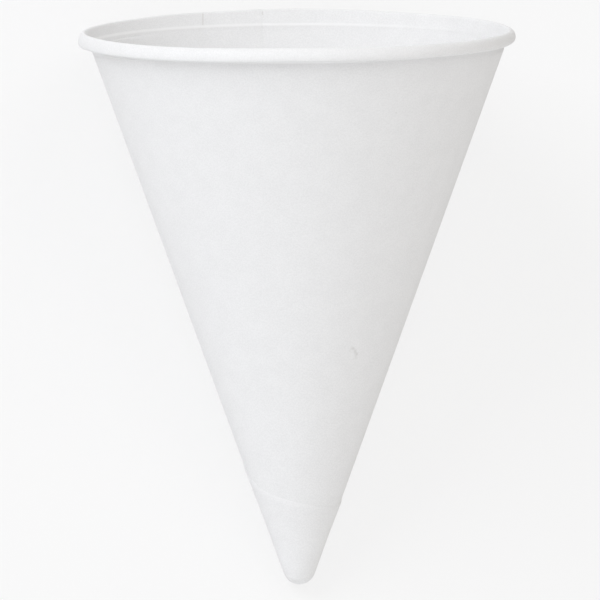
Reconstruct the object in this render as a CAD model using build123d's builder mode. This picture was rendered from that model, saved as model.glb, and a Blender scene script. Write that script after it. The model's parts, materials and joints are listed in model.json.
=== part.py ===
from build123d import *
from math import asin, atan2, cos, degrees, hypot, radians, sin, sqrt
import os

os.makedirs("parts", exist_ok=True)

# A cone drinking cup: one sheet of paper, wound into a cone and lapped along its side,
# closed at the tip by the sheet's own tail, with the mouth curled out into a rolled rim.
# It lies on its side with the lap underneath and the mouth towards +Y.

# Driving sizes, in millimetres and degrees
rim_diameter = 73.0      # over the rolled rim
cup_height = 93.0        # from the tip to the top of the rim
paper = 0.2              # one layer of the sheet
roll_depth = 2.3         # from the top of the rolled rim to its underside
roll_overhang = 1.85     # how far the roll stands out past the wall just under it
roll_drop = 1.5          # from the top of the rim down to where the roll is widest
side_radius = 1.9        # round of the roll's outer side
fold_inside = 0.05       # round left inside its top and bottom folds, in the lap's two layers
side_flats = 4           # short flats that the outer side turns in, within 0.02 of its true round
fold_flats = 5           # short flats that each fold turns in
end_lean = 30.0          # the curl's cut end leans this far in from upright, towards the wall
roll_gap = 0.15          # between the curl's cut end and the lap's two layers
crease_depth = 2.35      # from the top of the rim down to the crease inside the mouth
rest_flat = 7.5          # width of the flat that the rim has where the cup rests on its lap
tip_flat = 2.4           # width of the flat that the tip has where it rests
tip_radius = 3.0         # outside rounding of the tip
tip_floor = 2.8          # paper wound up inside the tip, measured on the cup's axis
lap_angle = 18.0         # the sheet laps itself by this much of a turn
joggle_angle = 5.0       # over which the outer layer eases down onto the inner one's face
joggle_foot = 5.0        # the joggle starts this far above the floor inside the tip
tail_distance = 20.1     # on the flat blank, from the cone's sharp point to the tail's cut
tail_bearing = 197.0     # where the tail's cut comes nearest to the tip, from the lap's middle

# The wall: a straight line that touches the rounding of the tip and runs up to the roll
rim_radius = rim_diameter / 2
layer_tip_radius = tip_radius - paper
wall_top_radius = rim_radius - roll_overhang
wall_top_rise = cup_height - roll_depth - tip_radius
half_angle = degrees(
    atan2(wall_top_radius, wall_top_rise)
    - asin(layer_tip_radius / hypot(wall_top_radius, wall_top_rise))
)
wall_run = Vector(sin(radians(half_angle)), cos(radians(half_angle)))
wall_out = Vector(cos(radians(half_angle)), -sin(radians(half_angle)))
tip_centre = Vector(0, tip_radius)
sharp_point = tip_radius - layer_tip_radius / sin(radians(half_angle))

# The roll: the sheet folds over at its top, bulges down its outer side and folds in under it
fold_radius = 2 * paper + fold_inside
side_centre = Vector(rim_radius - side_radius, cup_height - roll_drop)


def fold_centre(height):
    """The centre, at a height, of a fold that runs into the outer side without a corner."""
    rise = height - side_centre.Y
    reach = sqrt((side_radius - fold_radius) ** 2 - rise**2)
    return side_centre + Vector(reach, rise)


def angle_from_side(centre):
    """The direction of a fold's centre from the outer side's."""
    return degrees(atan2(centre.Y - side_centre.Y, centre.X - side_centre.X))


top_fold = fold_centre(cup_height - fold_radius)
foot_fold = fold_centre(cup_height - roll_depth + fold_radius)

# How it lies: on the flats of the tip and the rim, where the paper gives a little
rim_give = rim_radius - sqrt(rim_radius**2 - (rest_flat / 2) ** 2)
tip_give = tip_radius - sqrt(tip_radius**2 - (tip_flat / 2) ** 2)
foot_rise = foot_fold.Y - tip_radius
lean = degrees(
    atan2(foot_fold.X, foot_rise)
    + asin((fold_radius - rim_give - tip_radius + tip_give) / hypot(foot_rise, foot_fold.X))
)
along = Vector(0, cos(radians(lean)), sin(radians(lean)))
down = Vector(0, sin(radians(lean)), -cos(radians(lean)))
mouth_reach = (top_fold.Y - tip_radius) * along.Y + top_fold.X * down.Y + fold_radius
tip_rest = Vector(0, (tip_radius - mouth_reach) / 2, tip_radius - tip_give)
cup_frame = Plane(origin=tip_rest - along * tip_radius, x_dir=down, z_dir=along)
cup_axis = Axis(cup_frame.origin, cup_frame.z_dir)


def section_plane(bearing):
    """The plane through the cup's axis at a bearing from the lap: x is radius, y is height."""
    outward = down.rotate(Axis((0, 0, 0), along), bearing)
    return Plane(origin=cup_frame.origin, x_dir=outward, z_dir=outward.cross(along))


def on_wall(height, depth):
    """A point of the wall's section, at a height and at a depth out from its inner face."""
    foot = tip_centre + wall_out * (layer_tip_radius - paper + depth)
    return foot + wall_run * ((height - foot.Y) / wall_run.Y)


def turn_line(centre, radius, start, end, flats):
    """The points of a round that is turned in flats."""
    angles = [radians(start + (end - start) * flat / flats) for flat in range(flats + 1)]
    return [centre + Vector(cos(angle), sin(angle)) * radius for angle in angles]


# From the crease a straight band flares up to the top fold, and the curl ends near the wall
crease = on_wall(cup_height - crease_depth, 0)
to_fold = top_fold - crease
band_angle = degrees(atan2(to_fold.Y, to_fold.X) + asin(fold_radius / to_fold.length))
band_out = Vector(sin(radians(band_angle)), -cos(radians(band_angle)))
crease_mitre = (wall_out + band_out) / (1 + wall_out.dot(band_out))
top_angle = angle_from_side(top_fold)
foot_angle = angle_from_side(foot_fold)
end_angle = end_lean - 180
end_run = Vector(sin(radians(end_angle)), -cos(radians(end_angle)))
fold_end = turn_line(foot_fold, fold_radius, foot_angle, end_angle, fold_flats)[-1]
end_room = (fold_end - crease).dot(band_out) - 2 * paper - roll_gap
end_length = -end_room / end_run.dot(band_out)


def curl_line(depth):
    """The points of one face of the sheet, from the crease up and round the roll."""
    fold = fold_radius - depth
    top = turn_line(top_fold, fold, band_angle + 90, top_angle, fold_flats)
    side = turn_line(side_centre, side_radius - depth, top_angle, foot_angle, side_flats)
    foot = turn_line(foot_fold, fold, foot_angle, end_angle, fold_flats)
    cut_end = foot[-1] + end_run * end_length
    return [crease + crease_mitre * depth, *top, *side[1:], *foot[1:], cut_end]


def tip_arc(depth):
    """Draw the rounding of the tip at a depth of paper, from the axis out to the wall."""
    return CenterArc(tip_centre, layer_tip_radius - paper + depth, -90, 90 - half_angle)


def sheet_section(inner_depth, outer_depth):
    """Sketch the section of the sheet, from tip to curl, between two depths of paper."""
    with BuildLine(mode=Mode.PRIVATE) as outline:
        inner_tip = tip_arc(inner_depth)
        outer_tip = tip_arc(outer_depth)
        inner_face = Polyline(inner_tip @ 1, *curl_line(inner_depth))
        outer_face = Polyline(outer_tip @ 1, *curl_line(outer_depth))
        Line(inner_tip @ 0, outer_tip @ 0)
        Line(inner_face @ 1, outer_face @ 1)
    make_face(outline.edges())


def wall_strip(bearing, inner_depth, outer_depth):
    """A strip of the wall's section at a bearing, from the joggle's foot up to the crease."""
    foot = tip_floor + joggle_foot
    with BuildSketch(section_plane(bearing)) as strip:
        with BuildLine():
            Polyline(
                on_wall(foot, inner_depth),
                on_wall(foot, outer_depth),
                on_wall(crease.Y, outer_depth),
                on_wall(crease.Y, inner_depth),
                close=True,
            )
        make_face()
    return strip.sketch


def tail_height(bearing):
    """The height of the tail's straight cut, once the blank is wound into the cone."""
    blank_angle = radians(bearing - tail_bearing) * sin(radians(half_angle))
    return sharp_point + tail_distance / cos(blank_angle) * cos(radians(half_angle))


def tail_curve(radius, start, turn):
    """The height of the tail's cut followed round the cup's axis at one radius."""
    steps = 24
    points = []
    for step in range(steps + 1):
        bearing = start + turn * step / steps
        place = Vector(radius, 0, tail_height(bearing)).rotate(Axis.Z, bearing)
        points.append(cup_frame.from_local_coords(place))
    return Spline(points, mode=Mode.PRIVATE).edge()


# Everything above the tail's cut and beside the lap, where the sheet has a single layer
tail_radius = tail_distance * sin(radians(half_angle))
cutter_radius = tail_radius / 8
cutter_start = (lap_angle - joggle_angle) / 2
cutter_turn = 360 - 2 * cutter_start
window_radius = tail_radius / 4
window_foot = tail_height(tail_bearing) / 2
single_turn = 360 - lap_angle
tail_cut = Face.make_surface_from_curves(
    tail_curve(cutter_radius, cutter_start, cutter_turn),
    tail_curve(rim_diameter, cutter_start, cutter_turn),
)
with BuildPart() as window:
    with BuildSketch(section_plane(lap_angle / 2)):
        with Locations((window_radius, window_foot)):
            Rectangle(rim_diameter / 2, cup_height, align=(Align.MIN, Align.MIN))
    revolve(axis=cup_axis, revolution_arc=single_turn)
    split(bisect_by=tail_cut, keep=Keep.ALL)
single_layer = window.solids().sort_by(SortBy.VOLUME)[-1]

# The second layer: the lap from tip to curl, and the tail wound once more round the tip
with BuildPart() as outer_layer:
    with BuildSketch(section_plane(0)):
        sheet_section(paper / 2, 2 * paper)
    revolve(axis=cup_axis)
    add(single_layer, mode=Mode.SUBTRACT)

# The joggle is cut and filled a tenth of the paper short of the faces that it meets
lap_start = -lap_angle / 2
joggle_start = lap_start - joggle_angle
within = 0.9 * paper
with BuildPart() as cone_cup:
    # The first layer all round, with the paper wound up inside the tip
    with BuildSketch(section_plane(0)):
        sheet_section(0, paper)
        with BuildLine():
            wad = tip_arc(paper / 2)
            Polyline(wad @ 1, on_wall(tip_floor, paper / 2), (0, tip_floor), wad @ 0)
        make_face()
    revolve(axis=cup_axis)
    add(outer_layer.part)

    # The outer layer eases in beside the inner one's cut edge, which leaves a step inside
    loft(
        [
            wall_strip(lap_start, paper / 2, 2 * paper),
            wall_strip(joggle_start, paper / 2, within),
        ],
        ruled=True,
    )
    loft(
        [
            wall_strip(lap_start, -paper, within),
            wall_strip(joggle_start, -paper, 0),
        ],
        ruled=True,
        mode=Mode.SUBTRACT,
    )

    # The flats of the rim and the tip, on the ground
    split(bisect_by=Plane.XY, keep=Keep.TOP)

print("solids", len(cone_cup.solids()), "volume", round(cone_cup.part.volume, 1))
print("half angle", round(half_angle, 2), "lean", round(lean, 2), "valid", cone_cup.part.is_valid)
print("tip", cup_frame.origin, "mouth", cup_frame.origin + along * cup_height)
print(cone_cup.part.bounding_box())

cone_cup.part.label = "cone_cup"
export_step(cone_cup.part, "parts/cone_cup.step")
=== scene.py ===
import json
import logging
import math
from collections.abc import Callable, Iterable, Iterator, Sequence
from contextlib import contextmanager
from dataclasses import dataclass
from enum import Enum
from typing import Any, TypeAlias

import bmesh
import bpy
from mathutils import Matrix, Vector


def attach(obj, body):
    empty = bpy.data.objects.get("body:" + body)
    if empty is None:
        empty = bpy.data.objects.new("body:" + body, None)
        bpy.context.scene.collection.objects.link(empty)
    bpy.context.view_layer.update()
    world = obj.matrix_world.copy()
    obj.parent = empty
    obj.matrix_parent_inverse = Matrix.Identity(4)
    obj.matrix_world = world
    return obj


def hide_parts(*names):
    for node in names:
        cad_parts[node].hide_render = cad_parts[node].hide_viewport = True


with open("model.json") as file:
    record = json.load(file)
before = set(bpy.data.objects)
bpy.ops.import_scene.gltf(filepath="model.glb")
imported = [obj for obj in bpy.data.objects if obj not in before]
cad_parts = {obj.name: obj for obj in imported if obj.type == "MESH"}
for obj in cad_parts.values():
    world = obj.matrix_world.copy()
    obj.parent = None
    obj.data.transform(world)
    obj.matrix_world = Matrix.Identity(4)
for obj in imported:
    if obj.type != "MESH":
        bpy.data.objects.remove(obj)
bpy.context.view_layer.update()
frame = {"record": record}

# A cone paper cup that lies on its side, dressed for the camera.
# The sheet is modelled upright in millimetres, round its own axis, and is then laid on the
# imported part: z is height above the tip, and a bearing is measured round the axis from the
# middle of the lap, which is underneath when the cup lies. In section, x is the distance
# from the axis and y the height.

logging.basicConfig(level=logging.INFO, format="%(name)s: %(message)s")
log = logging.getLogger("cone_cup_scene")

MM = 0.001
CUP_NODE = "cone_cup"
CUP_BODY = "root"

# The Mix node's sockets for colours, by place, because their names are used twice
MIX_FIRST = 6
MIX_SECOND = 7
MIX_RESULT = 2

Color: TypeAlias = tuple[float, float, float]
Operand: TypeAlias = "Wire | float"
Triple: TypeAlias = "Wire | Vector | Color"
VertexTest: TypeAlias = Callable[[Vector], bool]


class Side(Enum):
    """Which side of its face a sheet's thickness goes to."""

    OUT = 1
    IN = -1


class Wire:
    """A shader value that Python's operators act on, each adding one Math node."""

    def __init__(self, bench: "NodeBench", socket: bpy.types.NodeSocket) -> None:
        """Wrap a socket.

        Args:
            bench: the node tree that the socket belongs to.
            socket: the output that gives the value.
        """
        self.bench = bench
        self.socket = socket

    def _math(self, operation: str, *values: Operand) -> "Wire":
        """Add a Math node.

        Args:
            operation: the Math node's operation.
            values: its numbers and wires, in their order.

        Returns:
            The node's value.
        """
        return self.bench.add("ShaderNodeMath", {"operation": operation}, dict(enumerate(values)))

    def __add__(self, other: Operand) -> "Wire":
        """This value plus another."""
        return self._math("ADD", self, other)

    def __radd__(self, other: Operand) -> "Wire":
        """Another value plus this one."""
        return self._math("ADD", other, self)

    def __sub__(self, other: Operand) -> "Wire":
        """This value less another."""
        return self._math("SUBTRACT", self, other)

    def __rsub__(self, other: Operand) -> "Wire":
        """Another value less this one."""
        return self._math("SUBTRACT", other, self)

    def __mul__(self, other: Operand) -> "Wire":
        """This value times another."""
        return self._math("MULTIPLY", self, other)

    def __rmul__(self, other: Operand) -> "Wire":
        """Another value times this one."""
        return self._math("MULTIPLY", other, self)

    def __pow__(self, other: Operand) -> "Wire":
        """This value to a power."""
        return self._math("POWER", self, other)

    def __rpow__(self, other: Operand) -> "Wire":
        """Another value to the power of this one."""
        return self._math("POWER", other, self)

    def __abs__(self) -> "Wire":
        """This value without its sign."""
        return self._math("ABSOLUTE", self)

    def sine(self) -> "Wire":
        """The sine of this value, in radians."""
        return self._math("SINE", self)

    def bearing_with(self, other: "Wire") -> "Wire":
        """The angle of a point whose x is this value and whose y is the other, in radians."""
        return self._math("ARCTAN2", other, self)

    def ramp(self, none: float, full: float) -> "Wire":
        """Ease this value from 0 at one level to 1 at another.

        Args:
            none: the level that gives 0.
            full: the level that gives 1, which may be the lower of the two.

        Returns:
            A value between 0 and 1.
        """
        settings = {"interpolation_type": "SMOOTHSTEP", "clamp": True}
        inputs = {"Value": self, "From Min": min(none, full), "From Max": max(none, full)}
        eased = self.bench.add("ShaderNodeMapRange", settings, inputs)
        return 1 - eased if none > full else eased


class NodeBench:
    """A material's node tree, with one method that adds any node and short forms of it."""

    def __init__(self, name: str) -> None:
        """Start an empty material.

        Args:
            name: the material's name.
        """
        self.material = bpy.data.materials.new(name)
        self.material.use_nodes = True
        self.tree = self.material.node_tree
        self.tree.nodes.clear()

    def add(
        self,
        kind: str,
        settings: dict[str, Any] | None = None,
        inputs: dict[str | int, Any] | None = None,
        output: str | int = 0,
    ) -> Wire:
        """Add a node.

        Args:
            kind: the node's type.
            settings: what is set on the node itself, before its sockets.
            inputs: values or wires for its sockets, by name or place.
            output: the socket that is given back.

        Returns:
            The chosen output.
        """
        node = self.tree.nodes.new(kind)
        for name, value in (settings or {}).items():
            setattr(node, name, value)
        for name, value in (inputs or {}).items():
            socket = node.inputs[name]
            if isinstance(value, Wire):
                self.tree.links.new(value.socket, socket)
            else:
                socket.default_value = value
        return Wire(self, node.outputs[output])

    def vector(self, operation: str, first: Triple, second: Triple, output: str = "Vector") -> Wire:
        """Add a Vector Math node.

        Args:
            operation: the node's operation.
            first: a vector, or a wire that carries one.
            second: a vector, or a wire that carries one.
            output: Vector, or Value where the operation gives a number.

        Returns:
            The chosen output.
        """
        inputs = {0: first, 1: second}
        return self.add("ShaderNodeVectorMath", {"operation": operation}, inputs, output)

    def noise(self, place: Wire, size: float, detail: float, rough: float) -> Wire:
        """Add a noise whose features are about a size across.

        Args:
            place: where on the piece, in metres.
            size: across one feature, in millimetres.
            detail: how many finer layers it has.
            rough: how strong they are.

        Returns:
            A value round one half.
        """
        inputs = {"Vector": place, "Scale": 1 / (size * MM), "Detail": detail, "Roughness": rough}
        return self.add("ShaderNodeTexNoise", {"noise_dimensions": "3D"}, inputs)

    def blend(self, factor: Wire, first: Color | Wire, second: Color | Wire) -> Wire:
        """Mix two colours.

        Args:
            factor: 0 for the first colour, 1 for the second.
            first: a colour, or a wire that carries one.
            second: a colour, or a wire that carries one.

        Returns:
            The mixed colour.
        """
        inputs: dict[str | int, Any] = {"Factor": factor}
        for socket, end in ((MIX_FIRST, first), (MIX_SECOND, second)):
            inputs[socket] = end if isinstance(end, Wire) else (*end, 1)
        return self.add("ShaderNodeMix", {"data_type": "RGBA"}, inputs, MIX_RESULT)

    def finish(self, surface: Wire) -> bpy.types.Material:
        """Join a shader to the material's output.

        Args:
            surface: the shader.

        Returns:
            The finished material.
        """
        end = self.tree.nodes.new("ShaderNodeOutputMaterial")
        self.tree.links.new(surface.socket, end.inputs["Surface"])
        return self.material


class Workbench:
    """Short forms of the modelling steps that are done by hand in Blender."""

    @staticmethod
    def clear_selection() -> None:
        """Leave edit mode and deselect everything."""
        if bpy.context.object and bpy.context.object.mode != "OBJECT":
            bpy.ops.object.mode_set(mode="OBJECT")
        bpy.ops.object.select_all(action="DESELECT")

    @staticmethod
    def activate(piece: bpy.types.Object) -> None:
        """Select one object alone and make it active.

        Args:
            piece: the object.
        """
        Workbench.clear_selection()
        piece.select_set(True)
        bpy.context.view_layer.objects.active = piece

    @staticmethod
    @contextmanager
    def editing(piece: bpy.types.Object) -> Iterator[None]:
        """Keep one object in edit mode while the lines of a with block run.

        Args:
            piece: the object, which comes out of it in object mode.
        """
        Workbench.activate(piece)
        bpy.ops.object.mode_set(mode="EDIT")
        yield
        bpy.ops.object.mode_set(mode="OBJECT")

    @staticmethod
    def join(piece: bpy.types.Object, others: Iterable[bpy.types.Object]) -> None:
        """Join other objects to one.

        Args:
            piece: the one, whose own vertices stay the mesh's first.
            others: the objects that become part of it.
        """
        Workbench.activate(piece)
        for other in others:
            other.select_set(True)
        bpy.ops.object.join()

    @staticmethod
    def apply_place(piece: bpy.types.Object) -> None:
        """Apply an object's move, turn and scale to its mesh."""
        Workbench.activate(piece)
        bpy.ops.object.transform_apply(location=True, rotation=True, scale=True)

    @staticmethod
    def apply_modifiers(piece: bpy.types.Object) -> None:
        """Apply modifiers in their order.

        Args:
            piece: the object that has them.
        """
        Workbench.activate(piece)
        for modifier in list(piece.modifiers):
            bpy.ops.object.modifier_apply(modifier=modifier.name)

    @staticmethod
    def select_vertices(piece: bpy.types.Object, wanted: VertexTest) -> None:
        """Select a mesh's vertices by their place.

        Args:
            piece: the object, which is in edit mode.
            wanted: tells whether a vertex at a place is wanted.
        """
        mesh = bmesh.from_edit_mesh(piece.data)
        for vertex in mesh.verts:
            vertex.select_set(wanted(vertex.co))
        mesh.select_flush(True)
        bmesh.update_edit_mesh(piece.data)

    @staticmethod
    def draw_line(name: str, points: Sequence[Vector]) -> bpy.types.Object:
        """Draw a run of edges by extruding one vertex from point to point.

        Args:
            name: the new object's name.
            points: the places that the run goes through.

        Returns:
            The new object.
        """
        Workbench.clear_selection()
        bpy.ops.mesh.primitive_plane_add(size=MM, location=(0, 0, 0))
        line = bpy.context.object
        line.name = name
        with Workbench.editing(line):
            bpy.ops.mesh.select_all(action="SELECT")
            bpy.ops.mesh.merge(type="CENTER")
            bpy.ops.transform.translate(value=points[0])
            for start, end in zip(points, points[1:]):
                bpy.ops.mesh.extrude_region_move(TRANSFORM_OT_translate={"value": end - start})
        return line

    @staticmethod
    def spin_about_axis(piece: bpy.types.Object, turn: float) -> None:
        """Spin a drawn line about the cup's axis, with a strip to each degree.

        Args:
            piece: the line.
            turn: the angle in degrees, counter-clockwise seen from the mouth.
        """
        with Workbench.editing(piece):
            bpy.ops.mesh.select_all(action="SELECT")
            bpy.ops.mesh.spin(
                steps=round(turn),
                angle=math.radians(turn),
                center=(0, 0, 0),
                axis=(0, 0, -1),
            )


@dataclass(frozen=True)
class Resting:
    """Where the lying cup's tip and its own axes are, in the frame."""

    tip: Vector
    down: Vector
    across: Vector
    along: Vector

    @classmethod
    def read(cls, record: dict[str, Any], cup_height: float) -> "Resting":
        """Take them from the mount in the middle of the mouth.

        Args:
            record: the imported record.
            cup_height: from the tip to the top of the rim, in millimetres.

        Returns:
            The axes that the cup lies on.
        """
        mouth = next(mount for mount in record["mounts"] if mount["name"] == "mouth")
        along = Vector(mouth["axis"]).normalized()
        across = Vector((-1, 0, 0))
        down = across.cross(along)
        tip = Vector(mouth["pos_m"]) - along * cup_height * MM
        return cls(tip, down, across, along)

    def matrix(self) -> Matrix:
        """The move from the upright cup in millimetres to the frame in metres."""
        turn = Matrix((self.down, self.across, self.along)).transposed().to_4x4()
        return Matrix.Translation(self.tip) @ turn @ Matrix.Scale(MM, 4)

    def outward(self, bearing: float) -> Vector:
        """The direction straight out from the axis at a bearing in degrees, in the frame."""
        angle = math.radians(bearing)
        return self.down * math.cos(angle) + self.across * math.sin(angle)

    def place(self, bearing: float, radius: float, height: float) -> Vector:
        """The place in the frame of a point of the upright cup, from millimetres."""
        return self.tip + (self.outward(bearing) * radius + self.along * height) * MM


@dataclass(frozen=True)
class Pull:
    """One gentle pull on the rim by hand: where, which way, and how far round it reaches.

    A stretch makes the roll deeper there by that share of its depth, from its top down.
    """

    bearing: float
    out: float = 0.0
    up: float = 0.0
    stretch: float = 0.0
    reach: float = 20.0

    def softly(self) -> dict[str, Any]:
        """The settings of a transform whose hold fades over the reach."""
        return {
            "use_proportional_edit": True,
            "proportional_edit_falloff": "SMOOTH",
            "proportional_size": self.reach,
        }


@dataclass
class PaperCone:
    """The cup: one sheet wound into a cone, lapped, closed by its tail and curled at the rim."""

    rest: Resting

    # The cup, the roll round its mouth and the crease inside it
    rim_diameter: float = 73.0
    cup_height: float = 93.0
    paper: float = 0.2
    roll_depth: float = 2.3
    roll_overhang: float = 1.85
    roll_drop: float = 1.5
    roll_inset: float = 0.5
    side_radius: float = 1.9
    fold_radius: float = 0.45
    end_lean: float = 30.0
    end_length: float = 0.55
    crease_depth: float = 2.35
    crease_ridge: float = 0.04
    crease_round: float = 0.15
    crease_reach: float = 0.45

    # The tip, where the outer layer sinks in flush, and the paper wound up inside it
    tip_radius: float = 2.7
    tip_sink: float = 0.05
    tip_settle: float = 8.0
    tip_layer: float = 0.2
    wad_foot: float = 0.8
    wad_top: float = 1.1
    wad_sides: int = 48
    wad_ring: float = 0.25

    # The lap in degrees, and how its layers are pressed together, at the sheet's start by column
    lap_angle: float = 18.0
    joggle_angle: float = 5.0
    rim_press: float = 0.35
    start_press: tuple[float, ...] = (0.17, 0.12, 0.07, 0.03)
    press_foot: float = 25.0
    press_reach: float = 0.08

    # The tail: its cut from the sharp point, its wave, and how far it lifts, row by row down
    tail_distance: float = 20.1
    tail_bearing: float = 197.0
    tail_wave: float = 0.45
    tail_wave_bearing: float = 152.0
    tail_paper: float = 0.12
    tail_skive: float = 0.40
    tail_lift: tuple[float, ...] = (0.03, 0.16, 0.14, 0.11, 0.08, 0.055, 0.035, 0.02, 0.015)

    # How many steps each stretch of the section has, and how closely vertices are told apart
    wall_rows: int = 24
    tip_rows: int = 8
    fold_rows: int = 9
    side_rows: int = 8
    tail_rows: int = 12
    layer_play: float = 0.01
    column_play: float = 0.2
    row_play: float = 0.1
    weld: float = 0.001
    smooth_angle: float = 35.0

    # What the hand and the floor do to the finished cup
    floor_give: float = 0.3
    pull_radius: float = 35.6
    pull_height: float = 91.8
    pulls: tuple[Pull, ...] = (
        Pull(bearing=-19, up=0.20, reach=22),
        Pull(bearing=3, up=-0.10, reach=10),
        Pull(bearing=40, up=-0.36, reach=17),
        Pull(bearing=66, up=-0.30, stretch=0.05, reach=14),
        Pull(bearing=101, up=-0.34, reach=26),
        Pull(bearing=136, up=-0.12, reach=16),
        Pull(bearing=161, up=0.10, reach=18),
        Pull(bearing=210, up=-0.05, stretch=-0.08, reach=20),
        Pull(bearing=254, out=-0.30, up=-0.15, stretch=-0.20, reach=20),
        Pull(bearing=281, up=-0.10, reach=16),
        Pull(bearing=312, up=-0.12, reach=20),
    )

    def __post_init__(self) -> None:
        """Work out the section's lines from the driving sizes."""
        rim_radius = self.rim_diameter / 2
        top_radius = rim_radius - self.roll_overhang
        top_rise = self.cup_height - self.roll_depth - self.tip_radius
        self.half_angle = math.atan2(top_radius, top_rise) - math.asin(
            self.tip_radius / math.hypot(top_radius, top_rise)
        )
        self.wall_run = Vector((math.sin(self.half_angle), math.cos(self.half_angle)))
        self.wall_out = Vector((math.cos(self.half_angle), -math.sin(self.half_angle)))
        self.tip_centre = Vector((0, self.tip_radius))
        self.sharp_point = self.tip_radius - self.tip_radius / math.sin(self.half_angle)
        self.side_centre = Vector((rim_radius - self.side_radius, self.cup_height - self.roll_drop))
        self.top_fold = self.fold_centre(self.cup_height - self.fold_radius)
        self.foot_fold = self.fold_centre(self.cup_height - self.roll_depth + self.fold_radius)
        self.crease = self.on_wall(self.cup_height - self.crease_depth, 0)
        self.wall_top = self.crease.y - 2 * self.crease_reach
        to_fold = self.top_fold - self.crease
        self.band_angle = math.atan2(to_fold.y, to_fold.x) + math.asin(
            self.fold_radius / to_fold.length
        )
        self.band_run = Vector((math.cos(self.band_angle), math.sin(self.band_angle)))
        self.band_out = Vector((self.band_run.y, -self.band_run.x))

    def fold_centre(self, height: float) -> Vector:
        """Find the place of a fold that runs into the roll's outer side smoothly.

        Args:
            height: of the fold's centre.

        Returns:
            The fold's centre, in section.
        """
        rise = height - self.side_centre.y
        reach = math.sqrt((self.side_radius - self.fold_radius) ** 2 - rise**2)
        return self.side_centre + Vector((reach, rise))

    def on_wall(self, height: float, depth: float) -> Vector:
        """A point of the wall's section, at a height and at a depth out from its inner face."""
        foot = self.tip_centre + self.wall_out * (self.tip_radius - self.paper + depth)
        return foot + self.wall_run * ((height - foot.y) / self.wall_run.y)

    def tip_line(self, depth: float) -> list[Vector]:
        """The rounding of the tip at a depth of paper, from the axis out to the wall."""
        radius = self.tip_radius - self.paper + depth
        return self.round_line(self.tip_centre, radius, -math.pi / 2, -self.half_angle, self.tip_rows)

    def wall_line(self, depth: float) -> list[Vector]:
        """Draw the wall from the tip up to the crease, in rows closer together at both ends.

        Args:
            depth: of paper, out from the wall's inner face.

        Returns:
            The points above the tip's rounding.
        """
        foot = self.tip_line(depth)[-1].y
        points = []
        for row in range(1, self.wall_rows + 1):
            above = (self.wall_top - foot) * (1 - math.cos(math.pi * row / self.wall_rows)) / 2
            settled = min(1.0, self.tip_layer + above / self.tip_settle)
            points.append(self.on_wall(foot + above, depth * settled))
        return points

    def rim_line(self, depth: float) -> list[Vector]:
        """Draw the raised crease inside the mouth, the band above it and the turn of the roll.

        Args:
            depth: of paper, out from the wall's inner face.

        Returns:
            The points from the crease to the curl's cut end.
        """
        mitre = (self.wall_out + self.band_out) / (1 + self.wall_out.dot(self.band_out))
        bend = self.crease + mitre * depth
        raised = bend - mitre * self.crease_ridge
        points = [
            bend - self.wall_run * self.crease_reach,
            raised - self.wall_run * self.crease_round,
            raised + self.band_run * self.crease_round,
            bend + self.band_run * self.crease_reach,
        ]
        fold = self.fold_radius - depth
        side = self.side_radius - depth
        to_top = self.top_fold - self.side_centre
        to_foot = self.foot_fold - self.side_centre
        top = math.atan2(to_top.y, to_top.x)
        foot = math.atan2(to_foot.y, to_foot.x)
        end = math.radians(self.end_lean) - math.pi
        start = self.band_angle + math.pi / 2
        points += self.round_line(self.top_fold, fold, start, top, self.fold_rows)
        points += self.round_line(self.side_centre, side, top, foot, self.side_rows)[1:]
        points += self.round_line(self.foot_fold, fold, foot, end, self.fold_rows)[1:]
        points.append(points[-1] + Vector((math.sin(end), -math.cos(end))) * self.end_length)
        return points

    def whole_section(self, depth: float) -> list[Vector]:
        """The section of the sheet at a depth of paper, from the tip's pole to the curl's end."""
        tip = self.tip_line(depth * self.tip_layer - self.tip_sink)
        return tip + self.wall_line(depth) + self.rim_line(depth * self.rim_press)

    @staticmethod
    def round_line(
        centre: Vector, radius: float, start: float, end: float, rows: int
    ) -> list[Vector]:
        """Points along a round in section.

        Args:
            centre: its centre.
            radius: its radius.
            start: the angle at which it starts, in radians.
            end: the angle at which it ends.
            rows: how many steps it takes.

        Returns:
            The points, both ends among them.
        """
        points = []
        for row in range(rows + 1):
            angle = start + (end - start) * row / rows
            points.append(centre + Vector((math.cos(angle), math.sin(angle))) * radius)
        return points

    @staticmethod
    def stand(point: Vector, bearing: float) -> Vector:
        """Stand a point of the section in the plane through the axis at a bearing in degrees."""
        angle = math.radians(bearing)
        return Vector((point.x * math.cos(angle), point.x * math.sin(angle), point.y))

    def read_place(self, place: Vector) -> tuple[float, float, float]:
        """Where a point of the upright cup is on the wound sheet.

        Args:
            place: the point, in millimetres.

        Returns:
            Its bearing from 0 to 360 degrees, how far it is from the sharp point along the
            wall, and its depth out from the wall's inner face.
        """
        section = Vector((math.hypot(place.x, place.y), place.z))
        bearing = math.degrees(math.atan2(place.y, place.x)) % 360
        reach = (section - Vector((0, self.sharp_point))).dot(self.wall_run)
        depth = (section - self.on_wall(0, 0)).dot(self.wall_out)
        return bearing, reach, depth

    def wind(
        self, name: str, points: Sequence[Vector], start: float, turn: float
    ) -> bpy.types.Object:
        """Wind one run of the sheet: draw its section and spin it.

        Args:
            name: the new object's name.
            points: the section, from the tip upwards.
            start: the bearing at which the run starts.
            turn: how far round it goes, in degrees.

        Returns:
            The new object, one face thick.
        """
        run = Workbench.draw_line(name, [self.stand(point, start) for point in points])
        Workbench.spin_about_axis(run, turn)
        return run

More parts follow.
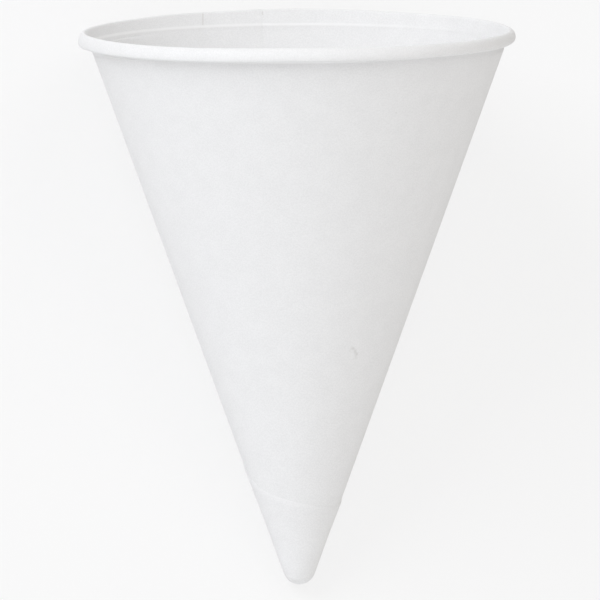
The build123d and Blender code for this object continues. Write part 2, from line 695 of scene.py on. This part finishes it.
    def face_outwards(self, piece: bpy.types.Object) -> None:
        """Merge a run's doubles and turn its faces so that they look away from the axis.

        Args:
            piece: the run, one face thick.
        """
        with Workbench.editing(piece):
            bpy.ops.mesh.select_all(action="SELECT")
            bpy.ops.mesh.remove_doubles(threshold=self.weld)
            bpy.ops.mesh.normals_make_consistent(inside=False)
        wall = max(piece.data.polygons, key=lambda face: face.area)
        if wall.normal.dot(Vector((wall.center.x, wall.center.y, 0))) < 0:
            with Workbench.editing(piece):
                bpy.ops.mesh.select_all(action="SELECT")
                bpy.ops.mesh.flip_normals()

    def thicken(self, piece: bpy.types.Object, by: float, side: Side) -> None:
        """Give a run of the sheet its thickness.

        Args:
            piece: the run, one face thick.
            by: the thickness, in millimetres.
            side: the side of its face that the thickness goes to.
        """
        self.face_outwards(piece)
        solid = piece.modifiers.new("paper", "SOLIDIFY")
        solid.thickness = by
        solid.offset = side.value
        solid.use_even_offset = True
        Workbench.apply_modifiers(piece)

    def model_sheet(self) -> bpy.types.Object:
        """Wind the sheet once round, ease its end out over its start, and lap it.

        Returns:
            The sheet, with its thickness.
        """
        start = -self.lap_angle / 2
        once_round = 360 - self.joggle_angle
        over = self.paper + self.layer_play
        sheet = self.wind("sheet", self.whole_section(0), start, once_round)
        lap = self.wind("lap", self.whole_section(over), start + 360, self.lap_angle)
        own = len(sheet.data.vertices)
        Workbench.join(sheet, [lap])
        with Workbench.editing(sheet):
            bpy.ops.mesh.select_mode(type="EDGE")
            bpy.ops.mesh.select_all(action="DESELECT")
            self.select_free_edge(sheet, start + once_round, range(own))
            self.select_free_edge(sheet, start + 360, range(own, len(sheet.data.vertices)))
            cuts = round(self.joggle_angle) - 1
            bpy.ops.mesh.bridge_edge_loops(number_cuts=cuts, interpolation="LINEAR")
            bpy.ops.mesh.select_mode(type="VERT")
        self.thicken(sheet, self.paper, Side.OUT)
        self.press_start(sheet, start % 360)
        return sheet

    def select_free_edge(self, piece: bpy.types.Object, bearing: float, run: range) -> None:
        """Add to the selection the free edge that a run of the sheet has at a bearing.

        Args:
            piece: the joined runs, in edit mode.
            bearing: in degrees.
            run: the places of the run's own vertices in the mesh.
        """
        mesh = bmesh.from_edit_mesh(piece.data)
        column = self.stand(Vector((1, 0)), bearing)
        for edge in mesh.edges:
            aside = max(abs(column.cross(vertex.co).z) for vertex in edge.verts)
            ahead = max(column.dot(vertex.co) for vertex in edge.verts)
            own = edge.verts[0].index in run and edge.is_boundary
            if own and aside < self.layer_play and ahead > self.layer_play:
                edge.select_set(True)
        bmesh.update_edit_mesh(piece.data)

    def press_start(self, piece: bpy.types.Object, edge: float) -> None:
        """Press the sheet's start thin inside the wall, as its glue and the winding leave it.

        Args:
            piece: the sheet, with its thickness.
            edge: the bearing of its cut start.
        """
        with Workbench.editing(piece):
            for column, press in enumerate(self.start_press):
                bearing = edge + column

                def on_inner_face(place: Vector) -> bool:
                    """Whether a vertex is on this column of the wall's inner face."""
                    where, reach, depth = self.read_place(place)
                    return (
                        abs(where - bearing) < self.column_play
                        and abs(depth) < self.press_reach
                        and reach > self.press_foot
                    )

                Workbench.select_vertices(piece, on_inner_face)
                outward = self.stand(self.wall_out, bearing)
                bpy.ops.transform.translate(value=outward * press)

    def tail_reach(self, bearing: float) -> float:
        """Find the tail's cut, which is straight on the flat blank but for its wave.

        Args:
            bearing: in degrees.

        Returns:
            How far it is from the sharp point there, along the wall.
        """
        on_blank = math.radians(bearing - self.tail_bearing) * math.sin(self.half_angle)
        wave = self.tail_wave * math.cos(2 * math.radians(bearing - self.tail_wave_bearing))
        return self.tail_distance / math.cos(on_blank) + wave

    def model_tail(self) -> bpy.types.Object:
        """Wind the tail round the tip and draw it out to its cut.

        Returns:
            The tail, with its thickness.
        """
        points = self.tip_line(self.paper)
        foot = points[-1]
        nominal = self.tail_distance / 2
        for row in range(1, self.tail_rows):
            points.append(foot + self.wall_run * nominal * row / self.tail_rows)
        points.append(foot + self.wall_run * (nominal - self.tail_skive))
        points.append(foot + self.wall_run * nominal)
        start = self.lap_angle / 2
        turn = round(360 - self.lap_angle)
        tail = self.wind("tail", points, start, turn)
        foot_reach = (foot - Vector((0, self.sharp_point))).dot(self.wall_run)
        with Workbench.editing(tail):
            for bearing in (start + column for column in range(turn + 1)):
                by = (self.tail_reach(bearing) - foot_reach) / nominal
                self.draw_out(tail, foot, bearing, by)
        self.face_outwards(tail)
        self.lift_cut(tail)
        self.thicken(tail, self.tail_paper, Side.IN)
        return tail

    def draw_out(self, piece: bpy.types.Object, foot: Vector, bearing: float, by: float) -> None:
        """Scale one column of the tail along the wall, so that it ends at the cut.

        Args:
            piece: the tail, in edit mode.
            foot: the top of the tip's rounding, in section.
            bearing: the column's bearing.
            by: the scale.
        """
        column = self.stand(Vector((1, 0)), bearing)

        def on_column(place: Vector) -> bool:
            """Whether a vertex is on this column and above the tip's rounding."""
            beside = abs(column.cross(place).z) < self.layer_play and column.dot(place) > 0
            return beside and place.z > foot.y + self.layer_play

        Workbench.select_vertices(piece, on_column)
        centre = self.stand(foot, bearing)
        bpy.ops.transform.resize(value=(by, by, by), center_override=centre)

    def row_of(self, place: Vector) -> float:
        """Find a point's row on the tail, counted from the tip's rounding up to the cut.

        Args:
            place: the point, in millimetres.

        Returns:
            The row, which is a whole number only on an evenly spaced one.
        """
        foot = self.tip_radius / math.tan(self.half_angle)
        bearing, reach, _ = self.read_place(place)
        return (reach - foot) / (self.tail_reach(bearing) - foot) * self.tail_rows

    def lift_cut(self, piece: bpy.types.Object) -> None:
        """Lift the tail off the cone at its cut, and lay it down on the cone lower down.

        Args:
            piece: the tail, one face thick, with its faces outwards.
        """
        rows = [self.tail_rows, self.tail_rows * (1 - 2 * self.tail_skive / self.tail_distance)]
        rows += range(self.tail_rows - 1, 0, -1)
        lifts = self.tail_lift + (self.tail_lift[-1],) * (len(rows) - len(self.tail_lift))
        with Workbench.editing(piece):
            for row, lift in zip(rows, lifts):
                Workbench.select_vertices(
                    piece, lambda place: abs(self.row_of(place) - row) < self.row_play
                )
                bpy.ops.transform.shrink_fatten(value=lift)

    def model_wad(self) -> bpy.types.Object:
        """Fill the inside of the tip with the paper that is wound up there.

        Returns:
            The wad, a closed piece inside the first layer, sunk and raised in rings on top.
        """
        Workbench.clear_selection()
        low = self.on_wall(self.tip_radius * self.wad_foot, self.paper / 2)
        high = self.on_wall(self.tip_radius * self.wad_top, self.paper / 2)
        bpy.ops.mesh.primitive_cone_add(
            vertices=self.wad_sides,
            radius1=low.x,
            radius2=high.x,
            depth=high.y - low.y,
            location=(0, 0, (low.y + high.y) / 2),
        )
        wad = bpy.context.object
        wad.name = "wad"
        Workbench.apply_place(wad)
        with Workbench.editing(wad):
            Workbench.select_vertices(wad, lambda place: place.z > high.y - self.layer_play)
            for step in (-self.paper, self.paper / 2, -self.paper):
                bpy.ops.mesh.inset(thickness=high.x * self.wad_ring, depth=0)
                bpy.ops.transform.translate(value=(0, 0, step))
        return wad

    def is_in_roll(self, place: Vector) -> bool:
        """Whether a point of the upright cup is in the roll, outside the band in the mouth."""
        section = Vector((math.hypot(place.x, place.y), place.z))
        return (section - self.crease).dot(self.band_out) > self.roll_inset

    @contextmanager
    def gripped(self, piece: bpy.types.Object, centre: Vector, free: VertexTest) -> Iterator[None]:
        """Hold the rim at one point, with all that has to stay still hidden.

        Args:
            piece: the whole cup, in edit mode.
            centre: the point, in the roll.
            free: tells whether a vertex at a place may move.
        """
        Workbench.select_vertices(piece, free)
        bpy.ops.mesh.hide(unselected=True)
        Workbench.select_vertices(piece, lambda place: (place - centre).length < self.roll_depth)
        yield
        bpy.ops.mesh.reveal(select=False)

    def shape_rim(self, piece: bpy.types.Object) -> None:
        """Pull the rim about a little, as the hand-fed curl of a real cup is.

        Args:
            piece: the whole cup, still upright.
        """
        with Workbench.editing(piece):
            for pull in self.pulls:
                centre = self.stand(Vector((self.pull_radius, self.pull_height)), pull.bearing)
                outward = Vector((centre.x, centre.y, 0)).normalized()
                moved = outward * pull.out + Vector((0, 0, pull.up))
                with self.gripped(piece, centre, lambda place: place.z > self.wall_top):
                    bpy.ops.transform.translate(value=moved, **pull.softly())
                if pull.stretch:
                    top = Vector((centre.x, centre.y, self.cup_height))
                    deeper = (1, 1, 1 + pull.stretch)
                    with self.gripped(piece, centre, self.is_in_roll):
                        bpy.ops.transform.resize(value=deeper, center_override=top, **pull.softly())

    def rest_on_floor(self, piece: bpy.types.Object) -> None:
        """Press the lying cup's rim and tip flat where they meet the floor.

        Args:
            piece: the whole cup, laid down in metres.
        """
        give = self.floor_give * MM
        with Workbench.editing(piece):
            for side in (1, -1):
                mesh = bmesh.from_edit_mesh(piece.data)
                lowest = min(vertex.co.z for vertex in mesh.verts if vertex.co.y * side > 0)
                if lowest >= 0:
                    continue
                Workbench.select_vertices(
                    piece, lambda place: place.y * side > 0 and place.z < give
                )
                by = give / (give - lowest)
                bpy.ops.transform.resize(value=(1, 1, by), center_override=(0, 0, give))

    def build(self) -> bpy.types.Object:
        """Model the cup, lay it down and say what it stands for in the frame.

        Returns:
            The finished piece, without its finish.
        """
        cup = self.model_sheet()
        Workbench.join(cup, [self.model_tail(), self.model_wad()])
        cup.name = "paper_cone"
        cup.data.name = "paper_cone"
        self.shape_rim(cup)
        cup.matrix_world = self.rest.matrix()
        Workbench.apply_place(cup)
        self.rest_on_floor(cup)
        bpy.ops.object.shade_smooth_by_angle(angle=math.radians(self.smooth_angle))
        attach(cup, CUP_BODY)
        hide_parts(CUP_NODE)
        return cup

    def dress(self, cup: bpy.types.Object) -> None:
        """Give the cup its finish."""
        cup.data.materials.clear()
        cup.data.materials.append(CupPaper(self).material())


@dataclass(frozen=True)
class Mark:
    """A soft grey spot on the outside of the wall: where, how wide in millimetres, how dark."""

    bearing: float
    height: float
    size: float
    strength: float


@dataclass(frozen=True)
class LapEdgeShade:
    """A fine dark line of painted shade up the band in the mouth, at the step where one of the lap's
    cut edges is rolled in.

    It leans by so many degrees round for each millimetre up.
    """

    bearing: float
    lean: float
    foot: float
    top: float


@dataclass(frozen=True)
class AxisReading:
    """A place read round the cup's own axis: its bearing in radians, the rest in metres."""

    bearing: Wire
    radius: Wire
    height: Wire


@dataclass(frozen=True)
class CupPaper:
    """Matt white cup paper: felted grain, faint cloudiness, the marks of this one cup, and a painted
    highlight and painted shade in the mouth.
    """

    cone: PaperCone
    roughness: float = 0.78
    roughness_play: float = 0.1
    specular: float = 0.25

    # The felt of the paper: a noise, and the two levels of it between which the colours mix
    white: Color = (0.892, 0.892, 0.892)
    shade: Color = (0.838, 0.838, 0.838)
    grain_size: float = 0.24
    grain_rough: float = 0.6
    grain_levels: tuple[float, float] = (0.32, 0.68)
    grain_depth: float = 0.016
    cloud: float = 0.985
    cloud_size: float = 3.5
    cloud_rough: float = 0.5
    cloud_levels: tuple[float, float] = (0.35, 0.65)
    noise_detail: float = 3

    # The fine wrinkles at the tip
    wrinkle_size: float = 1.55
    wrinkle_depth: float = 0.035
    wrinkle_top: float = 5.0
    wrinkle_full: float = 1.25
    wrinkle_stray: float = 6.0

    # The crease, with a highlight painted along it from one bearing on, where the light catches it,
    # and how far on each side of it
    crease_highlight: Color = (0.95, 0.95, 0.95)
    highlight_start: float = -75.0
    highlight_full: float = -15.0
    highlight_reach: float = 0.35
    highlight_core: float = 0.05
    highlight_cover: float = 1.0

    # Painted shade along the lap's two cut edges in the band, their width in degrees
    line: Color = (0.76, 0.75, 0.74)
    edge_shade_reach: float = 0.34
    edge_shade_core: float = 0.04
    edge_shade_cover: float = 1.1
    lap_edge_shades: tuple[LapEdgeShade, ...] = (
        LapEdgeShade(bearing=8.6, lean=-0.35, foot=90.8, top=92.9),
        LapEdgeShade(bearing=-9.3, lean=0.0, foot=92.1, top=92.9),
    )
    mask_fade: float = 0.2

    # The blemish low on the front, made of soft spots, and one speck near the rim
    smudge: Color = (0.52, 0.51, 0.49)
    marks: tuple[Mark, ...] = (
        Mark(192.2, 41.18, 0.42, 0.18),
        Mark(193.6, 41.11, 0.46, 0.34),
        Mark(195.2, 40.85, 0.44, 0.22),
        Mark(195.4, 40.54, 0.42, 0.26),
        Mark(196.2, 40.25, 0.48, 0.24),
        Mark(197.3, 40.11, 0.42, 0.22),
        Mark(196.5, 39.87, 0.50, 0.16),
        Mark(191.7, 40.77, 0.34, 0.14),
        Mark(196.8, 39.45, 0.60, 0.10),
        Mark(192.0, 81.55, 0.30, 0.22),
    )

    def material(self) -> bpy.types.Material:
        """Build the finish.

        Returns:
            The cup's material.
        """
        bench = NodeBench("cup_paper_finish")
        place = bench.add("ShaderNodeTexCoord", output="Object")
        at = self.read_axis(bench, place)
        grain = bench.noise(place, self.grain_size, self.noise_detail, self.grain_rough)
        cloud = bench.noise(place, self.cloud_size, self.noise_detail, self.cloud_rough)
        color = bench.blend(grain.ramp(*self.grain_levels), self.shade, self.white)
        clouded = bench.vector("MULTIPLY", color, (self.cloud, self.cloud, self.cloud))
        color = bench.blend(cloud.ramp(*self.cloud_levels), color, clouded)
        # A highlight painted along the crease in the mouth
        color = bench.blend(self.crease_highlight_mask(at), color, self.crease_highlight)
        # Painted shade in the step and crevice at the lap's cut edges in the band
        color = bench.blend(self.edge_shade_mask(at), color, self.line)
        color = bench.blend(self.smudge_mask(bench, place), color, self.smudge)
        phase = at.height * (math.tau / (self.wrinkle_size * MM)) + cloud * self.wrinkle_stray
        near_tip = at.height.ramp(self.wrinkle_top * MM, self.wrinkle_full * MM)
        wrinkles = phase.sine() * near_tip * (self.wrinkle_depth / 2)
        relief = {"Distance": MM, "Height": grain * self.grain_depth + wrinkles}
        shader = bench.add(
            "ShaderNodeBsdfPrincipled",
            inputs={
                "Base Color": color,
                "Roughness": self.roughness + (grain - 0.5) * self.roughness_play,
                "Specular IOR Level": self.specular,
                "Normal": bench.add("ShaderNodeBump", inputs=relief),
            },
        )
        return bench.finish(shader)

    def read_axis(self, bench: NodeBench, place: Wire) -> AxisReading:
        """Read a place round the cup's own axis.

        Args:
            bench: the material's bench.
            place: where on the piece, in metres.

        Returns:
            Its bearing, its distance from the axis and its height above the tip.
        """
        rest = self.cone.rest
        offset = bench.vector("SUBTRACT", place, rest.tip)
        down, across, along = (
            bench.vector("DOT_PRODUCT", offset, axis, "Value")
            for axis in (rest.down, rest.across, rest.along)
        )
        radius = (down * down + across * across) ** 0.5
        return AxisReading(down.bearing_with(across), radius, along)

    def mouth_mask(self, radius: Wire, cover: float) -> Wire:
        """1 inside the mouth, easing to 0 at so many millimetres out from the crease."""
        edge = self.cone.crease.x + cover
        return radius.ramp(edge * MM, (edge - self.mask_fade) * MM)

    def crease_highlight_mask(self, at: AxisReading) -> Wire:
        """Where a highlight is painted along the fold in the mouth, on the bearings where the light
        catches it.

        Args:
            at: the place on the piece.

        Returns:
            1 on the crease, easing to 0 on each side of it.
        """
        aside = abs(at.height - self.cone.crease.y * MM)
        near = aside.ramp(self.highlight_reach * MM, self.highlight_core * MM)
        # The painted highlight only on the stretch of bearings that the light catches
        lit_stretch = at.bearing.ramp(math.radians(self.highlight_start), math.radians(self.highlight_full))
        return near * self.mouth_mask(at.radius, self.highlight_cover) * lit_stretch

    def edge_shade_mask(self, at: AxisReading) -> Wire:
        """Where shade is painted along the lap's cut edges in the mouth's band.

        Args:
            at: the place on the piece.

        Returns:
            1 on a line, easing to 0 beside it.
        """
        lines: Operand = 0.0
        for line in self.lap_edge_shades:
            leant = (at.height - line.foot * MM) * (math.radians(line.lean) / MM)
            aside = abs(at.bearing - leant - math.radians(line.bearing))
            near = aside.ramp(math.radians(self.edge_shade_reach), math.radians(self.edge_shade_core))
            foot = at.height.ramp(line.foot * MM, (line.foot + self.mask_fade) * MM)
            head = at.height.ramp(line.top * MM, (line.top - self.mask_fade) * MM)
            lines = lines + near * foot * head
        return lines * self.mouth_mask(at.radius, self.edge_shade_cover)

    def smudge_mask(self, bench: NodeBench, place: Wire) -> Wire:
        """How dark the marks on the wall are, added up.

        Args:
            bench: the material's bench.
            place: where on the piece, in metres.

        Returns:
            0 off the marks.
        """
        stain: Operand = 0.0
        for mark in self.marks:
            radius = self.cone.on_wall(mark.height, self.cone.paper).x
            centre = self.cone.rest.place(mark.bearing, radius, mark.height)
            away = bench.vector("DISTANCE", place, centre, "Value")
            stain = stain + away.ramp(mark.size * MM, 0.0) * mark.strength
        return stain


@dataclass(frozen=True)
class Lamp:
    """A soft square lamp, held in a direction from the cup as the camera sees it."""

    name: str
    right: float
    up: float
    back: float
    power: float
    tint: Color = (1.0, 1.0, 1.0)
    size: float = 0.8
    distance: float = 1.2


@dataclass
class Studio:
    """The pale floor, the soft light and the camera."""

    rest: Resting

    # The camera: millimetres, degrees and pixels, and the bearings to its right and in front
    distance: float = 2500.0
    elevation: float = 6.269
    roll: float = -0.174
    focal_pixels: float = 15016.0
    image_width: int = 600
    sensor_width: float = 36.0
    aim_height: float = 46.0
    centre_pixel: tuple[float, float] = (298.56, 310.05)
    right_bearing: float = 251.0
    front_bearing: float = 161.0

    # The floor, how far it glows white to those who look at it, and the light
    floor_size: float = 8.0
    floor_white: float = 0.80
    floor_glow: float = 0.72
    sky: float = 0.53
    sky_tint: Color = (1.0, 0.98, 0.96)
    lamps: tuple[Lamp, ...] = (
        Lamp("key", right=-0.5, up=0.6, back=0.62, power=7.0, tint=(0.93, 0.955, 1.0)),
        Lamp("upper_fill", right=0.5, up=0.6, back=0.62, power=2.3),
        Lamp("lower_fill", right=0.0, up=-0.7, back=0.7, power=4.0, tint=(0.91, 0.945, 1.0)),
        Lamp("side_fill", right=0.95, up=-0.2, back=0.25, power=0.6, tint=(1.0, 0.90, 0.75)),
    )

    def camera_axes(self) -> tuple[Vector, Vector, Vector]:
        """Work out the directions that the camera is turned in.

        Returns:
            The picture's right, its up, and the way back towards the camera, in the frame.
        """
        right = self.rest.outward(self.right_bearing)
        front = self.rest.outward(self.front_bearing)
        rise = math.radians(self.elevation)
        back = front * math.cos(rise) + self.rest.along * math.sin(rise)
        return right, back.cross(right), back

    def add_camera(self) -> None:
        """Stand the camera where the photograph's was."""
        right, up, back = self.camera_axes()
        millimetre = self.focal_pixels / self.distance
        middle = self.image_width / 2
        aside = (middle - self.centre_pixel[0]) / millimetre
        above = (self.centre_pixel[1] - middle) / millimetre
        aim = self.rest.place(0, 0, self.aim_height) + (right * aside + up * above) * MM
        data = bpy.data.cameras.new("camera")
        data.sensor_width = self.sensor_width
        data.lens = self.focal_pixels * self.sensor_width / self.image_width
        camera = bpy.data.objects.new("camera", data)
        bpy.context.collection.objects.link(camera)
        turn = Matrix.Rotation(math.radians(self.roll), 3, "Z")
        axes = Matrix((right, up, back)).transposed() @ turn
        camera.matrix_world = Matrix.Translation(aim + back * self.distance * MM) @ axes.to_4x4()
        bpy.context.scene.camera = camera

    def rays_that_see(self, bench: NodeBench) -> Wire:
        """1 for the camera's rays and for those that a glossy or clear surface sends on."""
        camera, glossy, clear = (
            bench.add("ShaderNodeLightPath", output=ray)
            for ray in ("Is Camera Ray", "Is Glossy Ray", "Is Transmission Ray")
        )
        return camera + glossy + clear

    def add_floor(self) -> bpy.types.Object:
        """Lay the floor that the cup rests on, white to the camera and pale to the cup.

        Returns:
            The floor.
        """
        Workbench.clear_selection()
        bpy.ops.mesh.primitive_plane_add(size=self.floor_size, location=(0, 0, 0))
        floor = bpy.context.object
        floor.name = "floor"
        bench = NodeBench("floor_finish")
        white = (self.floor_white, self.floor_white, self.floor_white, 1)
        lit = bench.add("ShaderNodeBsdfDiffuse", inputs={"Color": white})
        glow = bench.add("ShaderNodeEmission", inputs={"Color": (1, 1, 1, 1), "Strength": 1})
        share = self.rays_that_see(bench) * self.floor_glow
        shader = bench.add("ShaderNodeMixShader", inputs={0: share, 1: lit, 2: glow})
        floor.data.materials.append(bench.finish(shader))
        return floor

    def add_sky(self) -> None:
        """Surround the scene with an even, slightly warm light."""
        world = bpy.data.worlds.new("studio")
        world.use_nodes = True
        background = world.node_tree.nodes["Background"]
        background.inputs["Color"].default_value = (*self.sky_tint, 1)
        background.inputs["Strength"].default_value = self.sky
        bpy.context.scene.world = world

    def add_lamp(self, lamp: Lamp) -> None:
        """Hang a lamp that faces the cup.

        Args:
            lamp: the lamp.
        """
        right, up, back = self.camera_axes()
        toward = (right * lamp.right + up * lamp.up + back * lamp.back).normalized()
        data = bpy.data.lights.new(lamp.name, "AREA")
        data.shape = "SQUARE"
        data.size = lamp.size
        data.energy = lamp.power
        data.color = lamp.tint
        held = bpy.data.objects.new(lamp.name, data)
        bpy.context.collection.objects.link(held)
        held.location = self.rest.place(0, 0, self.aim_height) + toward * lamp.distance
        held.rotation_euler = toward.to_track_quat("Z", "Y").to_euler()

    def build(self) -> bpy.types.Object:
        """Set up the whole studio.

        Returns:
            The floor.
        """
        floor = self.add_floor()
        self.add_sky()
        for lamp in self.lamps:
            self.add_lamp(lamp)
        self.add_camera()
        bpy.context.scene.view_settings.view_transform = "Standard"
        return floor


def main() -> None:
    """Build the cup and its studio in order, and report each piece."""
    rest = Resting.read(frame["record"], PaperCone.cup_height)
    cone = PaperCone(rest)
    cup = cone.build()
    cone.dress(cup)
    floor = Studio(rest).build()
    for piece in (cup, floor):
        finish = piece.data.materials[0].name
        log.info("%s: %d faces, %s", piece.name, len(piece.data.polygons), finish)


if __name__ == "__main__":
    main()
